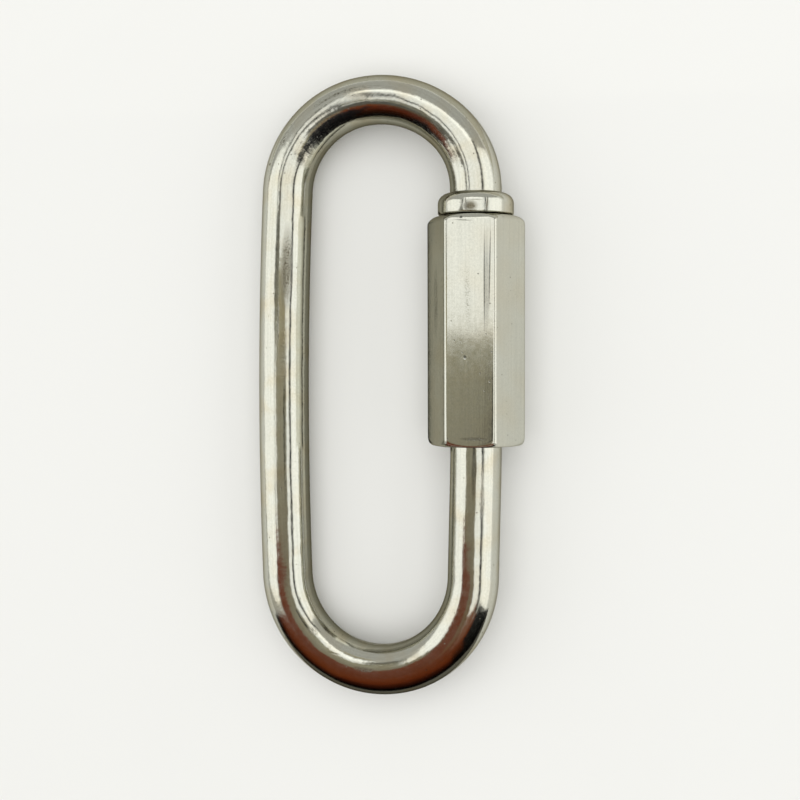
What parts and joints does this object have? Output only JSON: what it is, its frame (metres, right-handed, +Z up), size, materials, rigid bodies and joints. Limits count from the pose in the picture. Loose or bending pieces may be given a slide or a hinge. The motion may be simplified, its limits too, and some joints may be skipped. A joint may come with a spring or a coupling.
{
  "type": "chain quick link",
  "caption": "Long oval steel quick link whose jaw opens and shuts with a hexagonal sleeve nut, for joining chain, rope eyes or fittings.",
  "frame": {"origin": "centre of the part's bounding box, on the surface that it lies on", "axes": "+Y along the link towards the end with the collar, +X across it towards the sleeve nut, +Z up from the surface it lies on"},
  "size_m": [0.0324, 0.0735, 0.01],
  "materials": {
    "rod_steel": "polished stainless steel with fine draw lines along the rod",
    "nut_steel": "polished stainless steel, cold-drawn hexagon bar"
  },
  "bodies": {
    "link": {"link_body": "rod_steel"},
    "nut": {"sleeve_nut": "nut_steel"}
  },
  "joints": [
    {"name": "sleeve_travel", "type": "slide", "parent": "link", "child": "nut", "axis": [0, -1, 0], "range_m": [0, 0.011]}
  ]
}
